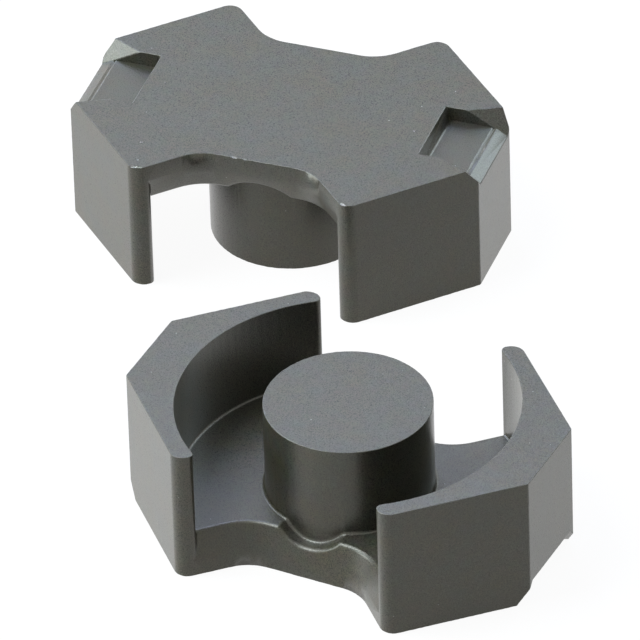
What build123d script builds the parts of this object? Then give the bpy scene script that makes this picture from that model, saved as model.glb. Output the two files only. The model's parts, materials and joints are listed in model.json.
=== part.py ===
from build123d import *
import os
from math import atan2, degrees, hypot, radians, sqrt, tan

# A ferrite core of two equal halves, in millimetres. Each half is measured from the axis of its
# centre post: X runs from end to end, Y across the waist, and Z up from the back to the mating face.

# Round winding window and what stands around it
wall_diameter = 21.75      # round inner wall of the two legs
post_diameter = 10.7       # centre post
leg_wall = 1.2             # leg at its thinnest, behind a 45 degree face
end_wall = 3.05            # leg at its thickest, behind an end face
winding_depth = 6.3        # from the mating face down to the floor
plate_thickness = 2.95     # floor to back

# Plan of the plate between the legs
waist_shoulder = 1.275     # plate that shows past the post on each side
leg_plane_offset = 1.98    # post axis to the 45 degree plane that ends a leg
waist_corner_radius = 3.0  # hollow corners where the waist meets those planes
tip_outer_radius = 0.9     # upright outer edge of a leg tip
tip_inner_radius = 0.4     # upright inner edge of a leg tip

# Flank of the plate, seen in section
flank_land = 1.15          # upright band next to the back
flank_inset = 0.62         # how far the band above it leans in
flank_edge_radius = 0.35   # rounded edge between flank and floor

# Trough that lets the wire out over the waist, one on each side of the post
trough_width = 4.1         # at the level of the floor
trough_depth = 0.87
trough_edge_radius = 0.4

# Hollow corners on the winding side
post_foot_radius = 0.22
post_foot_draft = 3.0      # degrees, only where the troughs bare the post below the floor
wall_foot_radius = 0.2

# Clip recess in the back, one at each end
clip_reach = 4.18          # from the end face to the top of the inner wall
clip_wall_lean = 0.3       # how far that wall leans outwards down to its foot
clip_foot_radius = 0.25
clip_width = 5.5
clip_depth = 1.0
clip_bevel_reach = 2.73    # from the end face back to where the bevel would meet the back
clip_bevel_drop = 1.52     # bevel depth at the end face
clip_flare_width = 8.15    # over the flared sides, where they would meet the end face
groove_depth = 0.1         # thin groove between the floor of the recess and the bevel
groove_floor_side = 0.1    # from its deepest line to the floor
groove_bevel_side = 0.2    # and to the bevel

# Where the two halves lie: the lower one on its back, the upper one on its legs and post
upper_turn = 7.0           # degrees, seen from above, against the lower half
upper_across = -17.6       # from the lower post axis to the upper one, along X
upper_behind = 27.4        # and along Y

# Sizes that follow
half_height = plate_thickness + winding_depth
wall_radius = wall_diameter / 2
post_radius = post_diameter / 2
end_x = wall_radius + end_wall
face_sum = (wall_radius + leg_wall) * sqrt(2)
leg_plane_rise = leg_plane_offset * sqrt(2)
waist_y = post_radius + waist_shoulder
inner_rounding_end = sqrt((wall_radius + tip_inner_radius) ** 2 - (leg_plane_offset - tip_inner_radius) ** 2)
tip_room = wall_radius + leg_wall - inner_rounding_end
far = 2 * end_x
touch = 1e-3
tip_rounding = min(tip_outer_radius, tip_room - touch)


def mirrored_corners(quarter):
    """Close a plan outline from the corners of its +X +Y quarter, given from the X axis round."""
    upper_left = [(-x, y) for x, y in reversed(quarter)]
    lower_left = [(-x, -y) for x, y in quarter]
    lower_right = [(x, -y) for x, y in reversed(quarter)]
    return quarter + upper_left + lower_left + lower_right


def corners_at(sketch, height):
    """The corners of a plan outline at one distance from the X axis, on both sides of it."""
    return [v for v in sketch.vertices() if abs(abs(v.Y) - height) < touch]


def plan():
    """Outline of the whole half: end faces, 45 degree faces, leg tips and waist."""
    tip_y = (face_sum + leg_plane_rise) / 2
    quarter = [
        (end_x, face_sum - end_x),
        (face_sum - tip_y, tip_y),
        (waist_y - leg_plane_rise, waist_y),
    ]
    outline = Polygon(*mirrored_corners(quarter), align=None)
    outline = fillet(corners_at(outline, waist_y), waist_corner_radius)
    return fillet(corners_at(outline, tip_y), tip_rounding)


def flank_plan():
    """Waist and leg planes alone, run on past the ends: the sides of the plate between the legs."""
    quarter = [(far, far + leg_plane_rise), (waist_y - leg_plane_rise, waist_y)]
    outline = Polygon(*mirrored_corners(quarter), align=None)
    return fillet(corners_at(outline, waist_y), waist_corner_radius)


def trough_cutter():
    """Round channel across the plate, with its lowest line under the floor at X = 0."""
    radius = (trough_width**2 / 4 + trough_depth**2) / (2 * trough_depth)
    axis_z = plate_thickness - trough_depth + radius
    channel = Plane.XZ * Pos(0, axis_z) * Circle(radius)
    return extrude(channel, amount=far, both=True)


def post_foot():
    """Foot of the post below the level of the floor, with its draft."""
    foot_radius = post_radius + plate_thickness * tan(radians(post_foot_draft))
    return Cone(foot_radius, post_radius, plate_thickness, align=(Align.CENTER, Align.CENTER, Align.MIN))


def round_off(body, wanted, radius):
    """Round the edges of a body for which wanted(lowest corner, highest corner, middle) is true."""
    edges = []
    for edge in body.edges():
        box = edge.bounding_box()
        if wanted(box.min, box.max, edge @ 0.5):
            edges.append(edge)
    return fillet(edges, radius)


def is_trough_rim(low, high, middle):
    """Edge between the floor and a side of the trough."""
    return low.Z > plate_thickness - touch and abs(abs(middle.X) - trough_width / 2) < touch


def is_flank_edge(low, high, middle):
    """Edge between a leaning flank and the floor or the trough."""
    return low.Z > flank_land + touch and (low.Y > post_radius or high.Y < -post_radius)


def is_post_foot(low, high, middle):
    """Edge where the post stands on the floor and in the trough."""
    at_post = -touch < hypot(middle.X, middle.Y) - post_radius < post_foot_radius
    on_floor = middle.Z > plate_thickness - touch and abs(middle.X) > trough_width / 2
    in_trough = flank_land + touch < middle.Z < plate_thickness - touch
    return at_post and (on_floor or in_trough) and high.Z < plate_thickness + touch


def is_wall_foot(low, high, middle):
    """Edge where the round wall of a leg stands on the floor."""
    at_wall = abs(hypot(middle.X, middle.Y) - wall_radius) < touch
    return at_wall and abs(low.Z - plate_thickness) < touch and abs(high.Z - plate_thickness) < touch


def is_leg_tip(low, high, middle):
    """Upright edge between the round wall of a leg and the plane that ends it."""
    at_wall = abs(hypot(middle.X, middle.Y) - wall_radius) < touch
    return at_wall and high.Z - low.Z > winding_depth


def web_and_post():
    """Plate between the legs with leaning flanks and two troughs, and the post that it carries."""
    lean = degrees(atan2(flank_inset, plate_thickness - flank_land))
    band = Pos(0, 0, flank_land) * flank_plan()
    web = extrude(band, amount=plate_thickness - flank_land, taper=lean)
    web = web - (trough_cutter() - post_foot())
    web = round_off(web, is_trough_rim, trough_edge_radius)
    web = round_off(web, is_flank_edge, flank_edge_radius)
    # It runs a little into the legs, so that no gap opens beside their rounded tips.
    web = web & extrude(Circle(wall_radius + tip_inner_radius), amount=far)
    web = web + extrude(Circle(post_radius), amount=half_height)
    return round_off(web, is_post_foot, post_foot_radius)


def legs_and_back():
    """Two legs with round inner walls, joined by the upright band of the plate."""
    window = Pos(0, 0, flank_land) * extrude(Circle(wall_radius), amount=far)
    legs = extrude(plan(), amount=half_height) - window
    return round_off(legs, is_leg_tip, tip_inner_radius)


def clip_recess():
    """What the spring clip's recess takes out of the back, at the +X end."""
    slope = clip_bevel_drop / clip_bevel_reach
    inner_x = end_x - clip_reach
    bevel_x = end_x - clip_bevel_reach
    meeting_x = bevel_x + clip_depth / slope
    groove_end = meeting_x + groove_bevel_side
    outer_x = end_x + clip_reach
    corners = [
        (inner_x - clip_wall_lean, -clip_depth),
        (inner_x + clip_wall_lean, clip_depth),
        (meeting_x - groove_floor_side, clip_depth),
        (meeting_x, clip_depth + groove_depth),
        (groove_end, (groove_end - bevel_x) * slope),
        (outer_x, (outer_x - bevel_x) * slope),
        (outer_x, -clip_depth),
    ]
    section = Plane.XZ * Polygon(*corners, align=None)
    pocket = extrude(section, amount=clip_width / 2, both=True)
    foot_x = inner_x + clip_wall_lean
    pocket = round_off(pocket, lambda low, high, middle: abs(middle.X - foot_x) < touch, clip_foot_radius)
    # The flared side is the plane through the bevel's edge and the corner where it opens at the end.
    bevel_edge = Vector(clip_bevel_reach, 0, clip_bevel_drop)
    opening = Vector(clip_bevel_reach, (clip_flare_width - clip_width) / 2, 0)
    flare = Plane(origin=(bevel_x, clip_width / 2, 0), z_dir=opening.cross(bevel_edge))
    block = Pos(bevel_x, clip_width / 2, -clip_depth) * Box(
        far, far, far, align=(Align.MIN, Align.MIN, Align.MIN)
    )
    side = split(block, bisect_by=flare, keep=Keep.TOP)
    return pocket + side + mirror(side, about=Plane.XZ)


def core_half():
    """One half of the core, back down, with its post on the Z axis."""
    half = legs_and_back() + web_and_post()
    half = round_off(half, is_wall_foot, wall_foot_radius)
    recess = clip_recess()
    return half - recess - mirror(recess, about=Plane.YZ)


half = core_half()
turned_over = Pos(0, 0, half_height) * Rot(X=180) * half
nodes = {
    "lower_core_half": half,
    "upper_core_half": Pos(upper_across, upper_behind, 0) * Rot(Z=upper_turn) * turned_over,
}
os.makedirs("parts", exist_ok=True)
for name, body in nodes.items():
    export_step(body, f"parts/{name}.step")
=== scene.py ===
"""A pair of ferrite core halves on a pale floor: one open side up, one back up.

Lengths are in metres and angles in degrees, unless a class says otherwise.
"""

import json
import logging
import math
from dataclasses import dataclass, field
from enum import Enum

import bmesh
import bpy
from mathutils import Matrix, Vector, noise

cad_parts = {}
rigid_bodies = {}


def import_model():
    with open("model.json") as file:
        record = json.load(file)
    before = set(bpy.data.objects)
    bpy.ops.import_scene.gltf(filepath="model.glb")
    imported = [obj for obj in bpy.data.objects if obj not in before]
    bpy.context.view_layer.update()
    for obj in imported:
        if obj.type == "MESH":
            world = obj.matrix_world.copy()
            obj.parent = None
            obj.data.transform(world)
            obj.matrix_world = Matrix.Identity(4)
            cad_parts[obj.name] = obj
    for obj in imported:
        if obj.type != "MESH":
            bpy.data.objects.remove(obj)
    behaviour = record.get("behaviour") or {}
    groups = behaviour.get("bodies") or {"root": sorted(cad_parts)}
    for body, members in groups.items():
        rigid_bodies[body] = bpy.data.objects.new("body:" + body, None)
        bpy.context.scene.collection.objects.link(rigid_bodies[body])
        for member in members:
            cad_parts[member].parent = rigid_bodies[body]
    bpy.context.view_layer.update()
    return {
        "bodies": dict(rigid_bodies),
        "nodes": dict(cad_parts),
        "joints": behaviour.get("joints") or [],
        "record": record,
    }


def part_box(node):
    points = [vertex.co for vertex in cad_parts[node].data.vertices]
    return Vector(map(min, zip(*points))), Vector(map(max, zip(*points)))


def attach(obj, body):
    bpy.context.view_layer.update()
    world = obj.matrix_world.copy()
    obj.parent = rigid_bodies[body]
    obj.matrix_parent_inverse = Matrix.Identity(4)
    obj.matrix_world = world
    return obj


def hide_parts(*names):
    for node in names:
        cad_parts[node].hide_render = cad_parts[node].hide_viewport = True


LOG = logging.getLogger("core_pair")
MM = 0.001
WEAR_LAYER = "edge_wear"

Colour = tuple[float, float, float]
Span = tuple[float, float]
Inputs = dict[str | int, object]
Socket = bpy.types.NodeSocket

WHITE: Colour = (1.0, 1.0, 1.0)


class NodeName(Enum):
    """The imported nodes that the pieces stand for."""

    LOWER = "lower_core_half"
    UPPER = "upper_core_half"


def opaque(colour: Colour) -> tuple[float, float, float, float]:
    """Give a colour the full alpha that a shader's socket asks for."""
    return (*colour, 1.0)


def link_new(name: str, data: bpy.types.ID) -> bpy.types.Object:
    """Make an object and link it into the scene.

    Args:
        name: the object's name.
        data: its mesh, lamp or camera.

    Returns:
        The new object.
    """
    thing = bpy.data.objects.new(name, data)
    bpy.context.scene.collection.objects.link(thing)
    return thing


def direction(bearing: float, elevation: float) -> Vector:
    """Find the way from the pair to something that stands round it.

    Args:
        bearing: how far it is turned from the front to the right.
        elevation: how far it is raised above the floor.

    Returns:
        A unit vector.
    """
    turn = math.radians(bearing)
    tilt = math.radians(elevation)
    return Vector((math.sin(turn) * math.cos(tilt), -math.cos(turn) * math.cos(tilt), math.sin(tilt)))


@dataclass(frozen=True)
class Clouds:
    """Cloudy noise: the size of a feature, the finer layers on it and how strong each of them is."""

    size: float
    layers: float
    strength: float = 0.55


class NodeGraph:
    """A short way to place and link shader nodes in one material or world."""

    def __init__(self, tree: bpy.types.NodeTree) -> None:
        """Take over the node tree of a material or of the world, and empty it."""
        self.tree = tree
        self.tree.nodes.clear()

    def add(self, kind: str, inputs: Inputs | None = None, **options: object) -> bpy.types.Node:
        """Add a node, set its options and fill or link its inputs.

        Args:
            kind: the node's type, without the ShaderNode in front.
            inputs: a value or another node's output socket for each named or numbered input.
            options: attributes to set on the node.

        Returns:
            The new node.
        """
        node = self.tree.nodes.new("ShaderNode" + kind)
        for name, value in options.items():
            setattr(node, name, value)
        for name, value in (inputs or {}).items():
            if isinstance(value, Socket):
                self.tree.links.new(value, node.inputs[name])
            else:
                node.inputs[name].default_value = value
        return node

    def math(self, operation: str, *values: object) -> Socket:
        """Add a Math node on numbers or sockets, in the order of its inputs."""
        return self.add("Math", dict(enumerate(values)), operation=operation).outputs[0]

    def vector_math(self, operation: str, *values: object) -> Socket:
        """Add a Vector Math node on triples or sockets, in the order of its inputs."""
        return self.add("VectorMath", dict(enumerate(values)), operation=operation).outputs[0]

    def blend(self, share: object, first: object, second: object) -> Socket:
        """Mix two colours, where the share is how much of the second one shows."""
        # The colour sockets of a Mix node are its inputs 6 and 7 and its output 2.
        return self.add("Mix", {0: share, 6: first, 7: second}, data_type="RGBA").outputs[2]

    def ramp(self, value: Socket, span: Span) -> Socket:
        """Stretch a span of the value over 0 to 1, held at both ends."""
        low, high = span
        return self.add("MapRange", {"Value": value, "From Min": low, "From Max": high}).outputs[0]

    def clouds(self, place: Socket, kind: Clouds) -> bpy.types.Node:
        """Add cloudy noise on the points that a socket gives.

        Args:
            place: the socket with the point on the object.
            kind: what the clouds are like.

        Returns:
            The noise node, with the outputs Fac and Color.
        """
        return self.add("TexNoise", {
            "Vector": place,
            "Scale": 1.0 / kind.size,
            "Detail": kind.layers,
            "Roughness": kind.strength,
        })


@dataclass(frozen=True)
class FerriteFinish:
    """Dark sintered ferrite with a dull sheen: fine grain, faint drifts of tint, few light specks.

    A span is the stretch of a noise that counts, from none to all, and a share or a spread says how
    far that noise changes what it works on. A speck's radius is a share of its cell, and its core,
    which is fully light, is a share of that radius.
    """

    name: str = "ferrite"
    grey: Colour = (0.036, 0.037, 0.029)
    warm: Colour = (0.041, 0.036, 0.022)
    drift: Clouds = Clouds(2.6 * MM, 4.0)
    drift_span: Span = (0.36, 0.64)
    tint: Clouds = Clouds(0.8 * MM, 3.0, 0.5)
    tint_share: float = 0.55
    grain: Clouds = Clouds(0.075 * MM, 1.0)
    grain_span: Span = (0.34, 0.66)
    grain_share: float = 1.5
    speck: Colour = (0.42, 0.41, 0.38)
    speck_cell: float = 0.42 * MM
    speck_radius: float = 0.11
    speck_core: float = 0.6
    speck_threshold: float = 0.975
    worn: Colour = (0.30, 0.30, 0.29)
    wear_share: float = 0.35
    roughness: float = 0.35
    roughness_span: Span = (0.3, 0.7)
    roughness_spread: float = 0.2
    specular: float = 0.27
    specular_tint: Colour = (1.0, 0.94, 0.6)
    coat: float = 0.9
    coat_roughness: float = 0.33
    bump_height: float = 0.018 * MM
    bump_strength: float = 0.5

    def specks(self, graph: NodeGraph, place: Socket) -> Socket:
        """Sparse light points, one in a few of the cells of a loose grid.

        Args:
            graph: the material's graph.
            place: the socket with the point on the object.

        Returns:
            A socket that is 1 on a speck and 0 elsewhere.
        """
        cells = graph.add("TexVoronoi", {"Vector": place, "Scale": 1.0 / self.speck_cell})
        fade = (self.speck_radius, self.speck_radius * self.speck_core)
        near = graph.ramp(cells.outputs["Distance"], fade)
        choice = graph.add("SeparateColor", {0: cells.outputs["Color"]}).outputs[0]
        chosen = graph.math("GREATER_THAN", choice, self.speck_threshold)
        return graph.math("MULTIPLY", near, chosen)

    def colour(self, graph: NodeGraph, place: Socket, grain: Socket) -> Socket:
        """Lay tints, grain, specks and wear over the body's drifting colour.

        Args:
            graph: the material's graph.
            place: the socket with the point on the object.
            grain: the socket with the grain's noise.

        Returns:
            The colour's socket.
        """
        drift = graph.ramp(graph.clouds(place, self.drift).outputs["Fac"], self.drift_span)
        body = graph.blend(drift, opaque(self.grey), opaque(self.warm))
        tints = graph.clouds(place, self.tint).outputs["Color"]
        low_tint = 1.0 - self.tint_share / 2
        spread = graph.vector_math("MULTIPLY_ADD", tints, (self.tint_share,) * 3, (low_tint,) * 3)
        tinted = graph.vector_math("MULTIPLY", body, spread)
        low_shade = 1.0 - self.grain_share / 2
        shade = graph.ramp(grain, self.grain_span)
        shade = graph.math("MULTIPLY_ADD", shade, self.grain_share, low_shade)
        grained = graph.vector_math("MULTIPLY", tinted, shade)
        specked = graph.blend(self.specks(graph, place), grained, opaque(self.speck))
        wear = graph.add("Attribute", attribute_name=WEAR_LAYER).outputs["Fac"]
        return graph.blend(graph.math("MULTIPLY", wear, self.wear_share), specked, opaque(self.worn))

    def build(self) -> bpy.types.Material:
        """Make the material.

        Returns:
            The new material.
        """
        material = bpy.data.materials.new(self.name)
        material.use_nodes = True
        graph = NodeGraph(material.node_tree)
        place = graph.add("TexCoord").outputs["Object"]
        grain = graph.clouds(place, self.grain).outputs["Fac"]
        low_rough = self.roughness - self.roughness_spread / 2
        rough = graph.ramp(grain, self.roughness_span)
        rough = graph.math("MULTIPLY_ADD", rough, self.roughness_spread, low_rough)
        bump = graph.add("Bump", {
            "Strength": self.bump_strength,
            "Distance": self.bump_height,
            "Height": grain,
        }).outputs[0]
        surface = graph.add("BsdfPrincipled", {
            "Base Color": self.colour(graph, place, grain),
            "Roughness": rough,
            "Specular IOR Level": self.specular,
            "Specular Tint": opaque(self.specular_tint),
            "Coat Weight": self.coat,
            "Coat Roughness": self.coat_roughness,
            "Normal": bump,
            "Coat Normal": bump,
        })
        graph.add("OutputMaterial", {"Surface": surface.outputs[0]})
        return material


@dataclass(frozen=True)
class FractureFinish(FerriteFinish):
    """The paler ferrite that shows where a flake is missing."""

    name: str = "ferrite_fracture"
    grey: Colour = (0.22, 0.22, 0.21)
    warm: Colour = (0.23, 0.22, 0.2)


@dataclass(frozen=True)
class FloorFinish:
    """Plain pale floor that reads as white and keeps the object's soft shadow."""

    name: str = "pale_floor"
    colour: Colour = (0.52, 0.51, 0.49)
    glow_share: float = 0.88
    mirrored_share: float = 0.86
    glow: float = 1.08

    def build(self) -> bpy.types.Material:
        """Make the material.

        Returns:
            The new material.
        """
        material = bpy.data.materials.new(self.name)
        material.use_nodes = True
        graph = NodeGraph(material.node_tree)
        rays = graph.add("LightPath")
        seen = graph.math("MAXIMUM", rays.outputs["Is Camera Ray"], rays.outputs["Is Transmission Ray"])
        shown = graph.math("MULTIPLY", seen, self.glow_share)
        mirrored = graph.math("MULTIPLY", rays.outputs["Is Glossy Ray"], self.mirrored_share)
        share = graph.math("MAXIMUM", shown, mirrored)
        matte = graph.add("BsdfDiffuse", {"Color": opaque(self.colour)})
        white = graph.add("Emission", {"Color": opaque(WHITE), "Strength": self.glow})
        surface = graph.add("MixShader", {0: share, 1: matte.outputs[0], 2: white.outputs[0]})
        graph.add("OutputMaterial", {"Surface": surface.outputs[0]})
        return material


@dataclass
class PhotoCamera:
    """The photograph's camera: a long lens that looks down on the pair from the front right.

    The lens and the sensor are in millimetres, as Blender has them.
    """

    bearing: float = 27.19
    elevation: float = 36.12
    roll: float = -1.82
    distance: float = 763.0 * MM
    look_at: Vector = field(default_factory=lambda: Vector((-8.3, 12.7, 4.6)) * MM)
    lens: float = 675.0
    sensor: float = 36.0
    clip_start: float = 0.05
    clip_end: float = 10.0

    def axes(self) -> tuple[Vector, Vector, Vector]:
        """Directions of the picture's right, of its top and of the view, with the roll in them.

        Returns:
            Right, up and forward as unit vectors.
        """
        forward = -direction(self.bearing, self.elevation)
        turn = math.radians(self.bearing)
        roll = math.radians(self.roll)
        level = Vector((math.cos(turn), math.sin(turn), 0.0))
        above = level.cross(forward)
        right = level * math.cos(roll) + above * math.sin(roll)
        up = above * math.cos(roll) - level * math.sin(roll)
        return right, up, forward

    def build(self) -> None:
        """Make the camera and let the scene look through it."""
        right, up, forward = self.axes()
        data = bpy.data.cameras.new("photo_camera")
        data.lens = self.lens
        data.sensor_width = self.sensor
        data.clip_start = self.clip_start
        data.clip_end = self.clip_end
        camera = link_new("photo_camera", data)
        turn = Matrix((right, up, -forward)).transposed().to_4x4()
        camera.matrix_world = Matrix.Translation(self.look_at - forward * self.distance) @ turn
        bpy.context.scene.camera = camera


@dataclass(frozen=True)
class SoftBox:
    """A square soft lamp, placed by its bearing round the pair as the camera sees it.

    The bearing is counted from the camera to the right. The glow is the lamp's power in watts,
    over its area and pi.
    """

    name: str
    bearing: float
    elevation: float
    glow: float
    colour: Colour = WHITE
    side: float = 0.2
    distance: float = 0.4

    def build(self, camera: PhotoCamera) -> None:
        """Make the lamp, facing the middle of the pair.

        Args:
            camera: the camera from which the bearing is counted.
        """
        data = bpy.data.lights.new(self.name, "AREA")
        data.shape = "SQUARE"
        data.size = self.side
        data.energy = self.glow * math.pi * self.side**2
        data.color = self.colour
        lamp = link_new(self.name, data)
        lamp.visible_camera = False
        away = direction(camera.bearing + self.bearing, self.elevation)
        lamp.location = camera.look_at + away * self.distance
        lamp.rotation_mode = "QUATERNION"
        lamp.rotation_quaternion = away.to_track_quat("Z", "Y")


@dataclass
class Studio:
    """Pale floor, white surroundings and soft lamps."""

    floor_side: float = 4.0
    lamps: tuple[SoftBox, ...] = (
        SoftBox("left_lamp", -92.0, 10.0, 5.4),
        SoftBox("high_left_lamp", -88.0, 28.0, 4.6, (0.82, 1.0, 1.12)),
        SoftBox("left_back_lamp", -150.0, 33.0, 3.7, (0.82, 0.98, 1.34)),
        SoftBox("right_back_lamp", 130.0, 38.0, 4.9, (0.83, 1.0, 1.16)),
        SoftBox("back_lamp", 180.0, 60.0, 2.9, (0.81, 0.97, 1.52)),
        SoftBox("top_lamp", -85.0, 62.0, 11.0, (0.92, 1.0, 1.1)),
    )

    def build_floor(self) -> None:
        """Make the floor under the pair."""
        half = self.floor_side / 2
        mesh = bpy.data.meshes.new("floor")
        corners = [(-half, -half, 0.0), (half, -half, 0.0), (half, half, 0.0), (-half, half, 0.0)]
        mesh.from_pydata(corners, [], [(0, 1, 2, 3)])
        mesh.materials.append(FloorFinish().build())
        floor = link_new("floor", mesh)

    def build_world(self) -> None:
        """Make surroundings that are seen and mirrored as white, but light nothing."""
        world = bpy.data.worlds.new("surroundings")
        world.use_nodes = True
        graph = NodeGraph(world.node_tree)
        rays = graph.add("LightPath")
        seen = graph.math("MAXIMUM", rays.outputs["Is Camera Ray"], rays.outputs["Is Glossy Ray"])
        seen = graph.math("MAXIMUM", seen, rays.outputs["Is Transmission Ray"])
        white = graph.add("Background", {"Color": opaque(WHITE), "Strength": seen})
        graph.add("OutputWorld", {"Surface": white.outputs[0]})
        bpy.context.scene.world = world

    def build(self, camera: PhotoCamera) -> None:
        """Set up the whole studio.

        Args:
            camera: the camera that the lamps are placed round.
        """
        bpy.context.scene.view_settings.view_transform = "Standard"
        self.build_floor()
        self.build_world()
        for lamp in self.lamps:
            lamp.build(camera)


@dataclass(frozen=True)
class Chip:
    """A small flake knocked off an upper edge: where it was, how big it was and how it lay.

    The place and the lift over the half's top give the flake's middle, and the size is its three
    half widths, all in millimetres. The lumps and the grit, which roughen it, are shares of its size.
    """

    place: tuple[float, float]
    lift: float
    size: tuple[float, float, float]
    turn: float
    seed: int
    subdivisions: int = 3
    lump_density: float = 1.7
    lump_share: float = 0.35
    grit_density: float = 5.0
    grit_share: float = 0.12

    def add_to(self, cutter: bmesh.types.BMesh, top: float) -> None:
        """Add the flake's rough lens to a cutter.

        Args:
            cutter: the mesh that will be taken out of the half.
            top: the height of the half's top.
        """
        middle = Vector((*self.place, self.lift)) * MM + Vector((0.0, 0.0, top))
        turn = Matrix.Rotation(math.radians(self.turn), 4, "Z")
        scale = Matrix.Diagonal((*(Vector(self.size) * MM), 1.0))
        lie = Matrix.Translation(middle) @ turn @ scale
        lens = bmesh.ops.create_icosphere(cutter, subdivisions=self.subdivisions, radius=1.0)["verts"]
        for vert in lens:
            lump = noise.noise(vert.co * self.lump_density + Vector((self.seed, 0.0, 0.0)))
            grit = noise.noise(vert.co * self.grit_density + Vector((0.0, self.seed, 0.0)))
            vert.co = vert.co * (1.0 + self.lump_share * lump + self.grit_share * grit)
        bmesh.ops.transform(cutter, matrix=lie, verts=lens)


@dataclass
class CoreHalf:
    """One half of the core, with its pressed edges broken, worn and chipped a little.

    Points closer than the weld become one, and so do faces that meet at less than the flat angle.
    Outward edges past the sharp angle are broken, and the shading breaks past the crease angle.
    Wear comes and goes in patches of the wear size, and of its fine scale, which is a share of it.
    """

    name: str
    node: NodeName
    chips: tuple[Chip, ...] = ()
    weld: float = 0.0002 * MM
    flat_angle: float = 0.15
    sharp_angle: float = 34.0
    crease_angle: float = 24.0
    edge_break: float = 0.05 * MM
    edge_segments: int = 3
    edge_roundness: float = 0.5
    edge_step: float = 0.2 * MM
    wear_depth: float = 0.035 * MM
    wear_size: float = 0.45 * MM
    fine_wear_scale: float = 0.35
    usual_wear: float = 0.3
    wear_change: float = 0.9
    fine_wear_change: float = 0.7

    def clean_skin(self, source: bpy.types.Mesh) -> bmesh.types.BMesh:
        """Copy the solid's skin, join its patches and make each flat face one polygon.

        Args:
            source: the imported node's mesh, which stays as it is.

        Returns:
            The closed skin.
        """
        skin = bmesh.new()
        skin.from_mesh(source)
        bmesh.ops.remove_doubles(skin, verts=skin.verts, dist=self.weld)
        bmesh.ops.dissolve_limit(
            skin,
            angle_limit=math.radians(self.flat_angle),
            verts=skin.verts,
            edges=skin.edges,
            use_dissolve_boundaries=False,
            delimit=set(),
        )
        return skin

    def sharp_edges(self, skin: bmesh.types.BMesh) -> list[bmesh.types.BMEdge]:
        """Find the outward edges that the press and the grinding wheel leave.

        Args:
            skin: the closed skin.

        Returns:
            The edges to break.
        """
        limit = math.radians(self.sharp_angle)
        paired = (edge for edge in skin.edges if len(edge.link_faces) == 2)
        return [edge for edge in paired if edge.calc_face_angle_signed() > limit]

    def divide_edges(self, skin: bmesh.types.BMesh) -> None:
        """Divide long sharp edges, so that wear can come and go along them.

        Args:
            skin: the closed skin.
        """
        for edge in self.sharp_edges(skin):
            pieces = int(edge.calc_length() / self.edge_step) + 1
            for left in range(pieces, 1, -1):
                bmesh.utils.edge_split(edge, edge.verts[0], 1.0 / left)

    def mark_creases(self, skin: bmesh.types.BMesh, strips: set[bmesh.types.BMFace]) -> None:
        """Let the shading break at creases, but not along the rounded strips.

        Args:
            skin: the skin with its edges rounded.
            strips: the faces of the rounded edges.
        """
        crease = math.radians(self.crease_angle)
        for edge in skin.edges:
            angle = abs(edge.calc_face_angle_signed(0.0))
            edge.smooth = angle < crease or all(face in strips for face in edge.link_faces)

    def wear_at(self, place: Vector) -> float:
        """Say how worn an edge is at a point.

        Args:
            place: the point on the edge.

        Returns:
            The wear, from 0 for none to 1 for the full depth.
        """
        coarse = noise.noise(place / self.wear_size)
        fine = noise.noise(place / (self.wear_size * self.fine_wear_scale))
        wear = self.usual_wear + self.wear_change * coarse + self.fine_wear_change * fine
        return min(1.0, max(0.0, wear))

    def break_edges(self, skin: bmesh.types.BMesh) -> None:
        """Round the sharp edges, and wear their crests unevenly.

        Args:
            skin: the closed skin.
        """
        layer = skin.verts.layers.float.new(WEAR_LAYER)
        self.divide_edges(skin)
        rounded = bmesh.ops.bevel(
            skin,
            geom=self.sharp_edges(skin),
            offset=self.edge_break,
            offset_type="OFFSET",
            segments=self.edge_segments,
            profile=self.edge_roundness,
            affect="EDGES",
            clamp_overlap=False,
            loop_slide=True,
        )
        skin.normal_update()
        strips = set(rounded["faces"])
        self.mark_creases(skin, strips)
        crests = [vert for vert in rounded["verts"] if strips.issuperset(vert.link_faces)]
        for vert in crests:
            wear = self.wear_at(vert.co)
            vert[layer] = wear
            vert.co -= vert.normal * (self.wear_depth * wear)

    def settle(self, piece: bpy.types.Object) -> None:
        """Turn the piece's modifiers into its mesh.

        Args:
            piece: the half.
        """
        bpy.context.view_layer.update()
        settled = piece.evaluated_get(bpy.context.evaluated_depsgraph_get())
        final = bpy.data.meshes.new_from_object(settled)
        piece.modifiers.clear()
        piece.data = final

    def cut_chip(self, piece: bpy.types.Object, chip: Chip, fracture: bpy.types.Material) -> None:
        """Take one flake out of the half.

        Args:
            piece: the half.
            chip: the flake.
            fracture: the material of the bared surface.
        """
        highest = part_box(self.node.value)[1]
        cutter = bmesh.new()
        chip.add_to(cutter, highest.z)
        mesh = bpy.data.meshes.new(self.name + "_chip")
        cutter.to_mesh(mesh)
        cutter.free()
        mesh.materials.append(fracture)
        tool = link_new(mesh.name, mesh)
        cut = piece.modifiers.new("chip", "BOOLEAN")
        cut.operation = "DIFFERENCE"
        cut.solver = "EXACT"
        cut.object = tool
        cut.material_mode = "TRANSFER"
        self.settle(piece)
        bpy.data.objects.remove(tool)

    def shade(self, piece: bpy.types.Object) -> None:
        """Shade the half smoothly, with its large faces even and its creases sharp.

        Args:
            piece: the half.
        """
        faces = piece.data.polygons
        faces.foreach_set("use_smooth", [True] * len(faces))
        weights = piece.modifiers.new("even_shading", "WEIGHTED_NORMAL")
        weights.mode = "FACE_AREA"
        weights.keep_sharp = True
        self.settle(piece)

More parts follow.
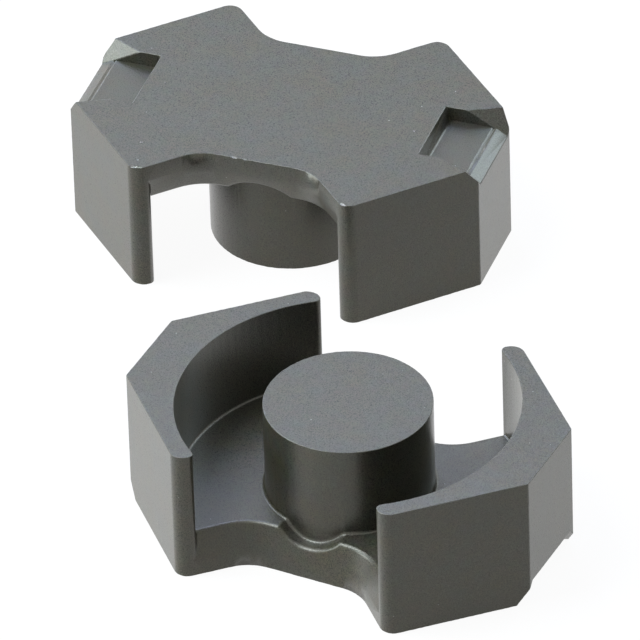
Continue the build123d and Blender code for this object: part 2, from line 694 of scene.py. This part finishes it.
    def build(
        self,
        frame: dict,
        finish: bpy.types.Material,
        fracture: bpy.types.Material,
    ) -> bpy.types.Object:
        """Make the half and dress it.

        Args:
            finish: the ferrite material.
            fracture: the material where a flake is missing.

        Returns:
            The half's object.
        """
        skin = self.clean_skin(frame["nodes"][self.node.value].data)
        self.break_edges(skin)
        mesh = bpy.data.meshes.new(self.name)
        skin.to_mesh(mesh)
        skin.free()
        mesh.materials.append(finish)
        piece = link_new(self.name, mesh)
        # The flakes are cut one by one, because a boolean fails where flakes overlap in one cutter.
        for chip in self.chips:
            self.cut_chip(piece, chip, fracture)
        self.shade(piece)
        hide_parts(self.node.value)
        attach(piece, "root")
        return piece


UPPER_CHIPS = (
    Chip((-23.68, 17.12), 0.03, (0.36, 0.1, 0.11), 12.0, 3),
    Chip((-23.26, 17.2), 0.02, (0.13, 0.07, 0.08), 10.0, 4),
    Chip((-23.77, 17.9), 0.02, (0.09, 0.07, 0.07), 0.0, 5),
    Chip((-24.44, 19.75), 0.02, (0.12, 0.06, 0.06), 20.0, 6),
    Chip((-18.23, 20.66), 0.03, (0.26, 0.09, 0.1), 5.0, 7),
    Chip((-17.46, 20.74), 0.03, (0.2, 0.08, 0.09), 2.0, 8),
    Chip((-9.62, 18.84), 0.03, (0.26, 0.12, 0.12), -25.0, 9),
    Chip((-8.94, 28.0), 0.02, (0.08, 0.07, 0.06), 0.0, 10),
)

HALVES = (
    CoreHalf("lower_ferrite", NodeName.LOWER),
    CoreHalf("upper_ferrite", NodeName.UPPER, UPPER_CHIPS),
)


def main(frame: dict) -> None:
    """Build the pair, the studio and the camera, and report each piece.
    """
    finish = FerriteFinish().build()
    fracture = FractureFinish().build()
    for half in HALVES:
        piece = half.build(frame, finish, fracture)
        LOG.info("%s: %d faces", piece.name, len(piece.data.polygons))
    camera = PhotoCamera()
    camera.build()
    Studio().build(camera)


if __name__ == "__main__":
    logging.basicConfig(level=logging.INFO, format="%(name)s %(message)s")
    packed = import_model()
    main(packed)
